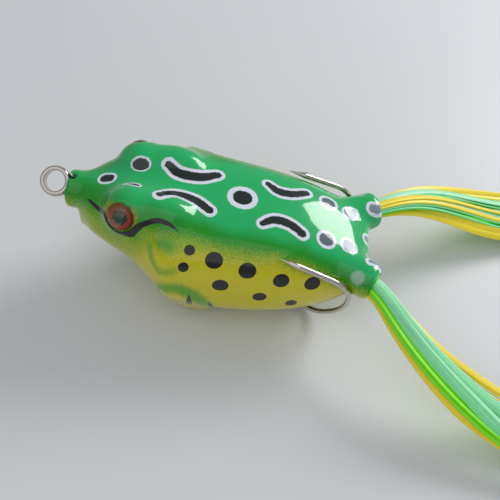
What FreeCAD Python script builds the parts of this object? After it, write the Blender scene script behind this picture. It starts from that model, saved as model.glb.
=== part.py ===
"""Hollow-body frog lure: moulded soft frog, double hook, belly weight, glued eyes and two silicone skirts.

Millimetres. +X runs from nose to tail, +Z is up and +Y is the frog's right-hand side. The origin is the
centre of the line-tie eye, and the surface that the lure lies on is ride_height below it.
"""

import FreeCAD, Part
import math
import os
import Sketcher

from FreeCAD import Placement, Rotation, Vector

DRIVING_SIZES = (
    ("ride_height", 21.3, "line-tie eye above the surface that the lure lies on"),
    ("body_length", 59.5, "nose rim to rump, without the leg stubs"),
    ("body_half_width", 15.4, "at the widest station"),
    ("body_height", 25.4, "belly to the top of the head"),
    ("body_wall", 1.6, "moulded wall"),
    ("nose_reach", 2.3, "line-tie centre to the nose rim"),
    ("nose_radius", 3.75, "round nose stub"),
    ("nose_drop", 1.1, "middle of the nose stub below the hole for the shanks"),
    ("nose_stub_length", 8.0, "from the rim to inside the head"),
    ("nose_round", 0.9, "round on the nose rim"),
    ("recess_radius", 2.35, "recess in the nose that the line-tie eye backs into"),
    ("recess_depth", 2.4, "the same recess"),
    ("wire_diameter", 1.06, "hook wire"),
    ("shank_spacing", 1.18, "centre to centre of the two shanks"),
    ("tie_radius", 2.42, "line-tie eye, to the middle of the wire"),
    ("tie_turn", 48.0, "degrees round the eye where each shank leaves it"),
    ("tie_land", 0.14, "depth that the eye's bore is coined"),
    ("tie_tilt", 38.0, "degrees that the eye leans about the X axis"),
    ("turn_pitch", 0.86, "between the two turns of the eye"),
    ("shank_fit", 0.08, "radial clearance round the shanks in the nose"),
    ("flank_gap", 0.3, "hook arm to the skin that it lies beside"),
    ("hook_slip", 2.0, "how far the hook can slip forwards through the nose"),
    ("slot_gap", 0.55, "belly slot round the shanks"),
    ("point_length", 3.4, "ground taper of each point"),
    ("barb_height", 0.35, "cut up from the wire behind the point"),
    ("weight_radius", 3.1, "belly weight"),
    ("weight_length", 11.0, "belly weight along the shanks"),
    ("weight_seat", 30.5, "middle of the weight, along X from the line-tie eye"),
    ("eye_radius", 2.65, "foil and lens"),
    ("iris_thickness", 0.25, "foil disc"),
    ("lens_height", 1.55, "dome of clear resin"),
    ("eye_fit", 0.06, "clearance round an eye in its socket"),
    ("eye_drop", 0.9, "foil below the top of the head"),
    ("eye_seat", 3.2, "foil above the middle of its mound"),
    ("mound_back", 0.7, "middle of the mound behind the eye"),
    ("mound_length", 5.3, "eye mound, half axis along X"),
    ("mound_width", 5.0, "eye mound, half axis along Y"),
    ("mound_height", 4.9, "eye mound, half axis along Z"),
    ("brow_length", 7.6, "brow behind the eye, half axis along X"),
    ("brow_back", 5.4, "middle of the brow behind the middle of the mound"),
    ("brow_radius", 4.6, "brow, the other half axes"),
    ("foreleg_length", 6.4, "folded foreleg lump, half axis"),
    ("foreleg_radius", 2.3, "folded foreleg lump, the other half axes"),
    ("stub_radius", 3.8, "leg stub"),
    ("stub_length", 8.1, "leg stub, from inside the rump"),
    ("stub_round", 1.35, "round on the rim of a leg stub"),
    ("stub_splay", 25.5, "degrees that a leg stub turns outwards"),
    ("hank_radius", 1.8, "strands where they are held"),
    ("hank_gap", 0.25, "hank to the bore of a leg stub"),
    ("band_radius", 0.55, "section of the rubber band round the hank"),
    ("band_gap", 0.3, "band to the hank and to the stub's inside"),
    ("strand_root", 0.62, "radius of one colour's strands where they leave the stub"),
    ("strand_middle", 1.42, "half width of one colour's strands at the curl"),
    ("strand_thick", 0.9, "half thickness of one colour's strands at the curl"),
    ("strand_end", 1.7, "half width of one colour's strands near their ends"),
    ("strand_tip", 0.65, "half thickness of one colour's strands at their ends"),
    ("fan_middle", 3.1, "side spacing of the colours at the curl"),
    ("fan_end", 4.9, "side spacing of the colours at their ends"),
    ("hank_ball", 0.7, "round end of the hank, which the leg sweeps about"),
    ("sweep_gap", 0.45, "that round end to the leg"),
    ("curl_gap", 0.7, "slack between the halves of a leg where it curls"),
)

# The skin, station by station, as shares of the body's length, half width and height:
# place, half width, top, bottom, height of the widest point, and how square the shoulders are.
STATIONS = (
    (0.050, 0.325, 0.925, 0.573, 0.628, 2.0),
    (0.080, 0.417, 0.935, 0.531, 0.721, 2.0),
    (0.101, 0.502, 0.943, 0.521, 0.724, 2.1),
    (0.143, 0.577, 0.961, 0.419, 0.756, 2.3),
    (0.224, 0.680, 0.992, 0.314, 0.677, 2.5),
    (0.291, 0.819, 1.000, 0.219, 0.597, 2.8),
    (0.365, 1.044, 0.992, 0.112, 0.544, 3.0),
    (0.482, 1.000, 0.965, 0.000, 0.465, 3.0),
    (0.634, 0.942, 0.929, 0.000, 0.441, 3.0),
    (0.768, 0.864, 0.882, 0.047, 0.457, 2.8),
    (0.886, 0.740, 0.799, 0.165, 0.496, 2.6),
    (0.961, 0.623, 0.717, 0.315, 0.528, 2.4),
    (1.000, 0.494, 0.646, 0.417, 0.535, 2.2),
)
BELLY_POWER = 2.2
BROW_OUT = 0.3
FORELEG_PLACE = 0.42
FORELEG_LEAN = 18
FORELEG_TURN = 0.878
FORELEG_SUNK = 0.94
SECTIONS = 22
SECTION_POINTS = 36

# The middle line of each leg skirt, from the stub's mouth: back, out from the mouth, and height above the
# surface. The legs are laid by hand, so they differ.
LEFT_ROUTE = (
    (3.6, 6.0, 14.8), (10.5, 12.6, 11.9), (19.5, 18.1, 8.0), (29.9, 22.3, 4.8), (41.3, 25.5, 2.6),
    (52.1, 27.5, 1.8),
)
RIGHT_ROUTE = (
    (5.3, 3.7, 15.3), (13.8, 7.5, 12.8), (24.7, 10.9, 7.4), (35.7, 13.7, 3.8), (46.3, 16.1, 2.3),
    (56.7, 17.5, 1.9),
)
SIDES = (("left", -1, LEFT_ROUTE), ("right", 1, RIGHT_ROUTE))
COLOURS = ("pale", "lime", "yellow")

doc = FreeCAD.newDocument("frog_lure")
sheet = doc.addObject("Spreadsheet::Sheet", "sizes")
for row, (name, value, note) in enumerate(DRIVING_SIZES, start=1):
    sheet.set(f"A{row}", name.replace("_", " "))
    sheet.set(f"B{row}", str(value))
    sheet.setAlias(f"B{row}", name)
    sheet.set(f"C{row}", note)
doc.recompute()


def size(name):
    return float(sheet.get(name))


def bind(thing, **formulas):
    """Tie properties of a document object to the sheet."""
    for prop, formula in formulas.items():
        thing.setExpression(prop, formula)
    return thing


def make(kind, name, place=None, **formulas):
    thing = doc.addObject(kind, name)
    bind(thing, **formulas)
    if place is not None:
        thing.Placement = place
    return thing


def along(start, direction):
    """A placement at start whose own Z axis runs along direction."""
    return Placement(start, Rotation(Vector(0, 0, 1), direction))


def fuse(name, *things):
    joined = doc.addObject("Part::MultiFuse", name)
    joined.Shapes = list(things)
    return joined


def cut(name, base, *tools):
    tool = tools[0] if len(tools) == 1 else fuse(f"{name}_tools", *tools)
    result = doc.addObject("Part::Cut", name)
    result.Base = base
    result.Tool = tool
    return result


# ---------------------------------------------------------------- the skin as a function

FLOOR = -size("ride_height")
NOSE_X = size("nose_reach")
LENGTH = size("body_length")
WIRE = size("wire_diameter") / 2


def slopes(places, values):
    """Slopes of a smooth curve that never overshoots its own values."""
    steps = [(b - a) / (q - p) for p, q, a, b in zip(places, places[1:], values, values[1:])]
    inner = [0 if a * b <= 0 else 2 * a * b / (a + b) for a, b in zip(steps, steps[1:])]
    return [steps[0], *inner, steps[-1]]


def station(share):
    """Half width, top, bottom and widest height in mm, and shoulder power, at a share of the length."""
    places = [row[0] for row in STATIONS]
    share = min(max(share, places[0]), places[-1])
    left = max(i for i in range(len(places) - 1) if places[i] <= share)
    step = places[left + 1] - places[left]
    part = (share - places[left]) / step
    found = []
    for column in range(1, 6):
        values = [row[column] for row in STATIONS]
        slope = slopes(places, values)
        a, b = values[left], values[left + 1]
        bend = part * (1 - part) * step
        blend = part * part * (3 - 2 * part)
        found.append(a + (b - a) * blend + bend * ((1 - part) * slope[left] - part * slope[left + 1]))
    width, top, bottom, widest, power = found
    height = size("body_height")
    return (width * size("body_half_width"), FLOOR + top * height, FLOOR + bottom * height,
            FLOOR + widest * height, power)


def share_of(x):
    return (x - NOSE_X) / LENGTH


def section_point(x, turn, inset=0.0):
    """The point of the section at x that lies a share of a turn round from the right-hand side."""
    width, top, bottom, widest, power = station(share_of(x))
    side, rise = math.cos(2 * math.pi * turn), math.sin(2 * math.pi * turn)
    power = power if rise >= 0 else BELLY_POWER
    reach = (top - inset - widest) if rise >= 0 else (widest - bottom - inset)
    y = (width - inset) * math.copysign(abs(side) ** (2 / power), side)
    z = widest + reach * math.copysign(abs(rise) ** (2 / power), rise)
    return Vector(x, y, z)


def skin_top(x, y):
    """Height of the back at x and y."""
    width, top, _, widest, power = station(share_of(x))
    return widest + (top - widest) * (1 - abs(y / width) ** power) ** (1 / power)


def skin_solid(name, start, end, inset):
    """A closed solid through the sections from start to end."""
    wires = []
    knots = [i / SECTION_POINTS for i in range(SECTION_POINTS + 1)]
    for i in range(SECTIONS):
        x = start + (end - start) * i / (SECTIONS - 1)
        curve = Part.BSplineCurve()
        points = [section_point(x, (j + 0.5) / SECTION_POINTS, inset) for j in range(SECTION_POINTS)]
        curve.interpolate(Points=points, Parameters=knots, PeriodicFlag=True)
        wires.append(Part.Wire(curve.toShape()))
    solid = doc.addObject("Part::Feature", name)
    solid.Shape = Part.makeLoft(wires, True, False)
    return solid


# ---------------------------------------------------------------- places that several pieces share

# Shares of the body's length, of its half width there and of its height, where nothing else is said.
STUB_ANGLE = math.radians(size("stub_splay"))
STUB_RISE = 0.045
STUB_ROOT = 0.902
STUB_OUT = 0.54
STUB_HEIGHT = 0.6
EYE_PLACE = 0.212
EYE_OUT = 0.85
BEND_PLACE = 0.944
POINT_PLACE = 0.707
POINT_OUT = 0.8
POINT_SLOPE = math.radians(40)


def stub_start(side):
    """Middle of a leg stub's inner end, inside the rump."""
    x = NOSE_X + STUB_ROOT * LENGTH
    width = station(STUB_ROOT)[0]
    return Vector(x, side * STUB_OUT * width, FLOOR + STUB_HEIGHT * size("body_height"))


def stub_axis(side):
    axis = Vector(math.cos(STUB_ANGLE), side * math.sin(STUB_ANGLE), STUB_RISE)
    return axis.normalize()


def stub_mouth(side):
    return stub_start(side) + stub_axis(side) * size("stub_length")


def eye_centre(side):
    """Middle of the foil's seat."""
    width, top = station(EYE_PLACE)[:2]
    return Vector(NOSE_X + EYE_PLACE * LENGTH, side * EYE_OUT * width, top - size("eye_drop"))


def eye_axis(side):
    return Vector(-0.1, side * 0.87, 0.48).normalize()


SHANK_FRONT = Vector(NOSE_X + 0.3, 0, -0.3)
SHANK_REAR = Vector(NOSE_X + 0.65 * LENGTH, 0, FLOOR + 4.1)
SHANK_LINE = (SHANK_REAR - SHANK_FRONT).normalize()
SLOT_REAR_X = NOSE_X + 0.845 * LENGTH


def on_shank(x):
    return SHANK_FRONT + SHANK_LINE * ((x - SHANK_FRONT.x) / SHANK_LINE.x)


# ---------------------------------------------------------------- body shell


def ellipsoid(name, centre, x_half, y_half, z_half, lean=0.0):
    """A lump of the mould, its front raised by lean degrees: half axes are sheet names."""
    return make("Part::Ellipsoid", name, Placement(centre, Rotation(Vector(0, 1, 0), lean)),
                Radius1=f"sizes.{z_half}", Radius2=f"sizes.{x_half}", Radius3=f"sizes.{y_half}")


def rounded_stub(name, start, axis, kind, length):
    """A stub with a rounded rim at its far end; its radius and round are the sheet's names for its kind."""
    bar = make("Part::Cylinder", f"{name}_bar", along(start, axis), Radius=f"sizes.{kind}_radius",
               Height=f"sizes.{length}")
    doc.recompute()
    rounded = doc.addObject("Part::Fillet", name)
    rounded.Base = bar
    rim = max(range(len(bar.Shape.Edges)), key=lambda i: bar.Shape.Edges[i].CenterOfMass.dot(axis))
    rounded.Edges = [(rim + 1, size(f"{kind}_round"), size(f"{kind}_round"))]
    return rounded


def body_shell():
    tail_x = NOSE_X + LENGTH
    skin = skin_solid("skin", NOSE_X + STATIONS[0][0] * LENGTH, tail_x, 0.0)
    nose_end = Vector(NOSE_X + size("nose_stub_length"), 0, SHANK_FRONT.z - size("nose_drop"))
    lumps = [skin, rounded_stub("nose_stub", nose_end, Vector(-1, 0, 0), "nose", "nose_stub_length")]
    hollows = [skin_solid("hollow", NOSE_X + 0.13 * LENGTH, tail_x - size("body_wall"), size("body_wall"))]
    for label, side, _ in SIDES:
        mound = eye_centre(side) - eye_axis(side) * size("eye_seat") + Vector(size("mound_back"), 0, 0)
        lumps.append(ellipsoid(f"{label}_mound", mound, "mound_length", "mound_width", "mound_height"))
        brow = mound + Vector(size("brow_back"), side * BROW_OUT, 0)
        lumps.append(ellipsoid(f"{label}_brow", brow, "brow_length", "brow_radius", "brow_radius"))
        flank = section_point(NOSE_X + FORELEG_PLACE * LENGTH, FORELEG_TURN)
        foreleg = Vector(flank.x, side * (flank.y - FORELEG_SUNK), flank.z)
        lumps.append(ellipsoid(f"{label}_foreleg", foreleg, "foreleg_length", "foreleg_radius",
                               "foreleg_radius", FORELEG_LEAN))
        start, axis = stub_start(side), stub_axis(side)
        lumps.append(rounded_stub(f"{label}_stub", start, axis, "stub", "stub_length"))
        bore_start = along(start - axis * size("body_wall") * 2, axis)
        hollows.append(make("Part::Cylinder", f"{label}_leg_bore", bore_start,
                            Radius="sizes.hank_radius + sizes.hank_gap",
                            Height="sizes.stub_length + sizes.body_wall * 3"))
        hollows.append(make("Part::Cylinder", f"{label}_band_seat", bore_start,
                            Radius="sizes.hank_radius + 2 * sizes.band_radius + 2 * sizes.band_gap",
                            Height="sizes.stub_length * 0.4 + sizes.body_wall * 2"))
        hollows.append(make("Part::Cylinder", f"{label}_socket", along(eye_centre(side), eye_axis(side)),
                            Radius="sizes.eye_radius + sizes.eye_fit", Height="sizes.lens_height * 3"))
    back = -SHANK_LINE
    hollows.append(make("Part::Cylinder", "nose_bore", along(on_shank(NOSE_X + 0.2 * LENGTH), back),
                        Radius="sizes.shank_spacing / 2 + sizes.wire_diameter / 2 + sizes.shank_fit",
                        Height="sizes.body_length * 0.25"))
    recess_floor = Vector(NOSE_X + size("recess_depth"), 0, SHANK_FRONT.z)
    hollows.append(make("Part::Cylinder", "nose_recess", along(recess_floor, Vector(-1, 0, 0)),
                        Radius="sizes.recess_radius", Height="sizes.recess_depth * 3"))
    hollows.append(belly_slot())
    return cut("body_shell", fuse("mould_shape", *lumps), *hollows)


def belly_slot():
    """The slot under the belly, which widens with the parting shanks."""
    reach = WIRE + size("slot_gap") + 0.6 * size("hook_slip")
    low = hook_low(1)
    spread = (low.y - size("shank_spacing") / 2) / (low.x - SHANK_REAR.x)
    front = SHANK_REAR.x + 0.5
    near = size("shank_spacing") / 2 + reach
    far = near + spread * (SLOT_REAR_X - front)
    corners = [Vector(front, -near, FLOOR - 2), Vector(SLOT_REAR_X, -far, FLOOR - 2),
               Vector(SLOT_REAR_X, far, FLOOR - 2), Vector(front, near, FLOOR - 2)]
    outline = Part.Face(Part.makePolygon(corners + corners[:1]))
    slot = doc.addObject("Part::Feature", "belly_slot")
    slot.Shape = outline.extrude(Vector(0, 0, 2 + 0.24 * size("body_height")))
    return slot


# ---------------------------------------------------------------- double hook


def hook_low(side):
    """Corner under the belly where an arm turns up."""
    return Vector(NOSE_X + 0.85 * LENGTH, side * 7.7, FLOOR - 0.25)


def hook_route(side):
    """Corners of one arm, from the line-tie eye round the bend to its point."""
    reach = WIRE + size("flank_gap")
    half = side * size("shank_spacing") / 2
    bend_x = NOSE_X + BEND_PLACE * LENGTH
    out = stub_start(side).y + side * (bend_x - stub_start(side).x) * math.tan(STUB_ANGLE)
    out += side * (size("stub_radius") / math.cos(STUB_ANGLE) + reach)
    point_x = NOSE_X + POINT_PLACE * LENGTH
    point_y = POINT_OUT * station(share_of(point_x))[0]
    lift = reach / math.cos(POINT_SLOPE)
    tilt, turn = math.radians(size("tie_tilt")), math.radians(size("tie_turn"))
    face = Vector(0, -math.sin(tilt), math.cos(tilt))
    across = Vector(0, math.cos(tilt), math.sin(tilt))
    leave = Vector(math.cos(turn), 0, 0) + across * (side * math.sin(turn))
    leave = leave * size("tie_radius") + face * (side * size("turn_pitch") / 2)
    enter = on_shank(NOSE_X + 0.55 * size("recess_depth"))
    return [
        leave,
        Vector(enter.x, half, enter.z),
        Vector(SHANK_REAR.x, half, SHANK_REAR.z),
        hook_low(side),
        Vector(bend_x + 0.3, out - side * 1.5, FLOOR + 6.9),
        Vector(bend_x + 0.2, out, FLOOR + 16.7),
        Vector(point_x, side * point_y, skin_top(point_x, point_y) + lift),
    ]


def bent_wire(corners):
    """Straight runs joined by tangent arcs."""
    edges = []
    last = corners[0]
    for before, corner, after in zip(corners, corners[1:], corners[2:]):
        back, ahead = before - corner, after - corner
        reach = 0.45 * min(back.Length, ahead.Length)
        back.normalize()
        ahead.normalize()
        start, end = corner + back * reach, corner + ahead * reach
        half = (math.pi - back.getAngle(ahead)) / 2
        radius = reach / math.tan(half)
        inward = (back + ahead).normalize()
        middle = corner + inward * (radius / math.cos(half) - radius)
        edges.append(Part.LineSegment(last, start).toShape())
        edges.append(Part.Arc(start, middle, end).toShape())
        last = end
    edges.append(Part.LineSegment(last, corners[-1]).toShape())
    return Part.Wire(edges)


def swept(name, corners, radius_formula):
    """A round section carried along a route of runs and arcs."""
    route = doc.addObject("Part::Feature", f"{name}_route")
    route.Shape = bent_wire(corners)
    start = along(corners[0], corners[1] - corners[0])
    ring = make("Part::Circle", f"{name}_section", start, Radius=radius_formula)
    sweep = doc.addObject("Part::Sweep", name)
    sweep.Sections = [ring]
    sweep.Spine = (route, [f"Edge{i + 1}" for i in range(len(route.Shape.Edges))])
    sweep.Solid = True
    sweep.Frenet = False
    return sweep


def double_hook():
    pieces = []
    for label, side, _ in SIDES:
        corners = hook_route(side)
        ahead = (corners[-1] - corners[-2]).normalize()
        corners[-1] = corners[-1] - ahead * size("point_length")
        pieces.append(swept(f"{label}_arm", corners, "sizes.wire_diameter / 2"))
        pieces.append(make("Part::Cone", f"{label}_point", along(corners[-1], ahead),
                           Radius1="sizes.wire_diameter / 2", Radius2="sizes.wire_diameter / 20",
                           Height="sizes.point_length"))
        pieces.append(barb(label, side, corners[-1], ahead))
    tilt = Rotation(Vector(1, 0, 0), size("tie_tilt"))
    for label, offset in (("upper", 0.5), ("lower", -0.5)):
        centre = tilt.multVec(Vector(0, 0, offset * size("turn_pitch")))
        pieces.append(make("Part::Torus", f"{label}_turn", Placement(centre, tilt),
                           Radius1="sizes.tie_radius", Radius2="sizes.wire_diameter / 2"))
    braze_foot = tilt.multVec(Vector(0, 0, -size("turn_pitch") / 2))
    pieces.append(make("Part::Cylinder", "tie_braze", Placement(braze_foot, tilt), Radius="sizes.tie_radius",
                       Height="sizes.turn_pitch"))
    bore_foot = tilt.multVec(Vector(0, 0, -size("tie_radius")))
    coin = make("Part::Cylinder", "tie_bore", Placement(bore_foot, tilt), Height="2 * sizes.tie_radius",
                Radius="sizes.tie_radius - sizes.wire_diameter / 2 + sizes.tie_land")
    return cut("double_hook", fuse("hook_wire", *pieces), coin)


def barb(label, side, start, ahead):
    """A small barb on the side of the arm away from the frog."""
    outward = Vector(0, side * 0.6, 0.8)
    outward = (outward - ahead * outward.dot(ahead)).normalize()
    foot = start + outward * WIRE * 0.6
    top = start - ahead * 0.5 + outward * (WIRE + size("barb_height"))
    toe = start + ahead * 1.5 + outward * WIRE * 0.55
    width = ahead.cross(outward) * WIRE * 0.35
    face = Part.Face(Part.makePolygon([foot - width, top - width, toe - width, foot - width]))
    part = doc.addObject("Part::Feature", f"{label}_barb")
    part.Shape = face.extrude(width * 2)
    return part


# ---------------------------------------------------------------- weight, eyes and bands


def belly_weight():
    """Lead cast round both shanks: a bar with round ends, bored where the wires run through it."""
    half = size("weight_length") / 2 - size("weight_radius")
    middle = on_shank(size("weight_seat"))
    bar = make("Part::Cylinder", "weight_bar", along(middle - SHANK_LINE * half, SHANK_LINE),
               Radius="sizes.weight_radius", Height="sizes.weight_length - 2 * sizes.weight_radius")
    ends = [make("Part::Sphere", f"weight_end_{label}", along(middle + SHANK_LINE * way * half, SHANK_LINE),
                 Radius="sizes.weight_radius") for label, way in (("front", -1), ("rear", 1))]
    bores = []
    for label, side, _ in SIDES:
        offset = Vector(0, side * size("shank_spacing") / 2, 0)
        start = on_shank(size("weight_seat") - size("weight_length")) + offset
        bores.append(make("Part::Cylinder", f"{label}_wire_bore", along(start, SHANK_LINE),
                          Radius="sizes.wire_diameter / 2 + 0.01", Height="sizes.weight_length * 2.5"))
    return cut("belly_weight", fuse("weight_casting", bar, *ends), *bores)


def eye_iris(label, side):
    """A punched foil disc on the floor of the socket."""
    body = doc.addObject("PartDesign::Body", f"{label}_eye_iris")
    sketch = body.newObject("Sketcher::SketchObject", f"{label}_disc")
    plane = next(f for f in body.Origin.OriginFeatures if f.Role == "XY_Plane")
    sketch.AttachmentSupport = [(plane, "")]
    sketch.MapMode = "FlatFace"
    sketch.addGeometry(Part.Circle(Vector(), Vector(0, 0, 1), size("eye_radius")), False)
    sketch.addConstraint(Sketcher.Constraint("Coincident", 0, 3, -1, 1))
    sketch.addConstraint(Sketcher.Constraint("Radius", 0, size("eye_radius")))
    sketch.renameConstraint(1, "disc_radius")
    sketch.setExpression("Constraints.disc_radius", "sizes.eye_radius")
    pad = body.newObject("PartDesign::Pad", f"{label}_foil")
    pad.Profile = sketch
    bind(pad, Length="sizes.iris_thickness")
    body.Placement = along(eye_centre(side), eye_axis(side))
    return body


def eye_lens(label, side):
    """A dome of clear resin on the foil: the top of a sphere."""
    seat = eye_centre(side) + eye_axis(side) * size("iris_thickness")
    curve = (size("eye_radius") ** 2 + size("lens_height") ** 2) / (2 * size("lens_height"))
    ball_place = along(seat - eye_axis(side) * (curve - size("lens_height")), eye_axis(side))
    ball = make("Part::Sphere", f"{label}_ball", ball_place,
                Radius="(sizes.eye_radius ^ 2 + sizes.lens_height ^ 2) / (2 * sizes.lens_height)")
    blank = make("Part::Cylinder", f"{label}_blank", along(seat, eye_axis(side)), Radius="sizes.eye_radius",
                 Height="sizes.lens_height * 2")
    lens = doc.addObject("Part::Common", f"{label}_eye_lens")
    lens.Base, lens.Tool = ball, blank
    return lens


def skirt_band(label, side):
    """A rubber ring round the hank, in the wide root of the stub's bore."""
    middle = stub_start(side) + stub_axis(side) * size("stub_length") * 0.22
    return make("Part::Torus", f"{label}_skirt_band", along(middle, stub_axis(side)),
                Radius1="sizes.hank_radius + sizes.band_radius + sizes.band_gap", Radius2="sizes.band_radius")


# ---------------------------------------------------------------- skirts


def skirt_hank():
    """The strands' middle, from one stub's mouth through the rump to the other's."""
    corners = []
    for side in (-1, 1):
        turn_in = stub_start(side) - stub_axis(side) * 2.2
        corners.append([stub_mouth(side), turn_in])
    crossing = Vector(corners[0][1].x - 1.6, 0, stub_start(1).z - 0.3)
    run = swept("hank_run", [*corners[0], crossing, corners[1][1], corners[1][0]], "sizes.hank_radius")
    balls = [make("Part::Sphere", f"{label}_hank_ball", along(stub_mouth(side), stub_axis(side)),
                  Radius="sizes.hank_ball") for label, side, _ in SIDES]
    return fuse("skirt_hank", run, *balls)


def leg_frame(side, route, number):
    """Middle, direction, sideways and upward of a leg at a numbered point of its route, 0 at the mouth."""
    mouth = stub_mouth(side)
    points = [mouth + stub_axis(side) * (size("hank_ball") + size("sweep_gap"))]
    points += [Vector(mouth.x + back, mouth.y + side * out, FLOOR + rise) for back, out, rise in route]
    before, after = points[max(number - 1, 0)], points[min(number + 1, len(points) - 1)]
    ahead = (after - before).normalize() if number else stub_axis(side)
    across = Vector(0, 0, 1).cross(ahead).normalize()
    return points[number], ahead, across, ahead.cross(across)


# Where each colour's bundle lies: side and upward place in the tight nest at the stub, side place in the fan.
NEST = {"pale": (0.0, 1.155), "lime": (-1.0, -0.577), "yellow": (1.0, -0.577)}
ROW = {"pale": 0.0, "lime": -1.0, "yellow": 1.0}
CURL_AT = 3


def bundle_sections(label, side, route, colour):
    """Ellipses of one colour's strands: four up to the curl, three from there on."""
    root = "sizes.strand_root"
    nest_side, nest_up = NEST[colour]
    steps = (
        (0, 0.0, nest_side * size("strand_root") * 1.04, nest_up * size("strand_root") * 1.04, root, root),
        (1, 0.0, ROW[colour] * size("fan_middle") * 0.45, nest_up * size("strand_root") * 1.35,
         "sizes.strand_middle * 0.62", "sizes.strand_thick * 0.66"),
        (2, 0.0, ROW[colour] * size("fan_middle") * 0.78, nest_up * size("strand_root") * 0.6,
         "sizes.strand_middle * 0.82", "sizes.strand_thick * 0.85"),
        (CURL_AT, -0.5, ROW[colour] * size("fan_middle"), 0.0, "sizes.strand_middle", "sizes.strand_thick"),
        (CURL_AT, 0.5, ROW[colour] * size("fan_middle"), 0.0, "sizes.strand_middle", "sizes.strand_thick"),
        (4, 0.0, ROW[colour] * (size("fan_middle") + size("fan_end")) / 2, 0.0,
         "(sizes.strand_middle + sizes.strand_end) / 2", "sizes.strand_thick * 0.9"),
        (5, 0.0, ROW[colour] * size("fan_end") * 0.93, 0.0, "sizes.strand_end", "sizes.strand_thick * 0.8"),
        (6, 0.0, ROW[colour] * size("fan_end"), 0.0, "sizes.strand_end * 0.9", "sizes.strand_tip"),
    )
    sections = []
    for count, (number, gap, sideways, upward, half_width, half_thick) in enumerate(steps):
        middle, ahead, across, rise = leg_frame(side, route, number)
        middle = middle + ahead * gap * size("curl_gap") + across * sideways + rise * upward
        turn = Rotation(across, rise, ahead, "ZXY")
        sections.append(make("Part::Ellipse", f"{label}_{colour}_section_{count}", Placement(middle, turn),
                             MajorRadius=half_width, MinorRadius=half_thick))
    return sections


def bundle(name, sections):
    loft = doc.addObject("Part::Loft", name)
    loft.Sections = sections
    loft.Solid = True
    loft.Ruled = False
    return loft


def leg_skirt(label, side, route):
    made = []
    for colour in COLOURS:
        sections = bundle_sections(label, side, route, colour)
        made.append(bundle(f"{label}_{colour}_strands", sections[:4]))
        made.append(bundle(f"{label}_{colour}_tips", sections[4:]))
    return made


# ---------------------------------------------------------------- build, check and write


def build():
    nodes = [body_shell(), double_hook(), belly_weight(), skirt_hank()]
    for label, side, route in SIDES:
        nodes += [eye_iris(label, side), eye_lens(label, side), skirt_band(label, side)]
        nodes += leg_skirt(label, side, route)
    for node in nodes:
        node.Label = node.Name
    doc.recompute()
    for thing in doc.Objects:
        bad = [word for word in thing.State if word in ("Invalid", "Error")]
        if bad:
            raise RuntimeError(f"{thing.Name} is {bad}")
    for node in nodes:
        if node.Shape.isNull() or not node.Shape.isValid() or not node.Shape.Solids:
            raise RuntimeError(f"{node.Label} has no sound solid")
    return nodes


def write(nodes):
    os.makedirs("parts", exist_ok=True)
    for node in nodes:
        node.Shape.exportStep(f"parts/{node.Label}.step")
        box = node.Shape.BoundBox
        print(f"{node.Label}: {len(node.Shape.Solids)} solid, {node.Shape.Volume:.1f} mm3, "
              f"x {box.XMin:.1f}..{box.XMax:.1f} y {box.YMin:.1f}..{box.YMax:.1f} "
              f"height {box.ZMin - FLOOR:.2f}..{box.ZMax - FLOOR:.2f}")


write(build())
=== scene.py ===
"""Looks of the hollow-body frog lure: painted soft body, nickel double hook, glued eyes and silicone skirts.

Metres, in the CAD frame: +X from nose to tail, +Z up, the line-tie eye at the origin. Places measured on the
frog are written in millimetres as (along, across, height above the surface it lies on), which is how a maker
checks them with calipers on the bench; at() turns them into the frame.
"""

import math

import bmesh
import bpy
import numpy as np
from mathutils import Matrix, Vector


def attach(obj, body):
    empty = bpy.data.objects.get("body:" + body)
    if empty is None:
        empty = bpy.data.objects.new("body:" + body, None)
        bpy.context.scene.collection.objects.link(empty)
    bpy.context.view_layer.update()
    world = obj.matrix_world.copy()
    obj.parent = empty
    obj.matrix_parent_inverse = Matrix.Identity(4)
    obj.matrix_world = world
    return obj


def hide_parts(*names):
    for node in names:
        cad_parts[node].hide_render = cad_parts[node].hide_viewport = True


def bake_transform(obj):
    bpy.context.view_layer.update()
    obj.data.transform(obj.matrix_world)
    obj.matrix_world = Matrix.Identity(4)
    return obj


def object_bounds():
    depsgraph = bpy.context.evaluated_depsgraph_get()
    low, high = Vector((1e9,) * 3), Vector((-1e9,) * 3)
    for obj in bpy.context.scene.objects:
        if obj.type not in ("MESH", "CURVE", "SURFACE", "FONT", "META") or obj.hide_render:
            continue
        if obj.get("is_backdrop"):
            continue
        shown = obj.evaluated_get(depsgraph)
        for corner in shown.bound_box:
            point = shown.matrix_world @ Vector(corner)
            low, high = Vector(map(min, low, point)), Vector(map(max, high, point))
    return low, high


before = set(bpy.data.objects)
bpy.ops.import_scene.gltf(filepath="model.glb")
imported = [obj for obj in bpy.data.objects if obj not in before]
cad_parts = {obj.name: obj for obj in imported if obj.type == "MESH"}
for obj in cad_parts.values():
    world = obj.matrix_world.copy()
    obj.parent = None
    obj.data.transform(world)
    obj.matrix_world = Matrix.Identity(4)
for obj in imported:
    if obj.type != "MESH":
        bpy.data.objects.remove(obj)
cad_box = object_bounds()

MM = 0.001
FLOOR = -0.0213

# ---------------------------------------------------------------- small helpers


def at(along, across, height):
    """A place on the bench, in millimetres, as a point of the frame."""
    return Vector((along * MM, across * MM, FLOOR + height * MM))


def linear(colour):
    """An sRGB hex colour as linear red, green, blue and full cover."""
    parts = [int(colour[i:i + 2], 16) / 255 for i in (1, 3, 5)]
    return [p / 12.92 if p <= 0.04045 else ((p + 0.055) / 1.055) ** 2.4 for p in parts] + [1.0]


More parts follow.
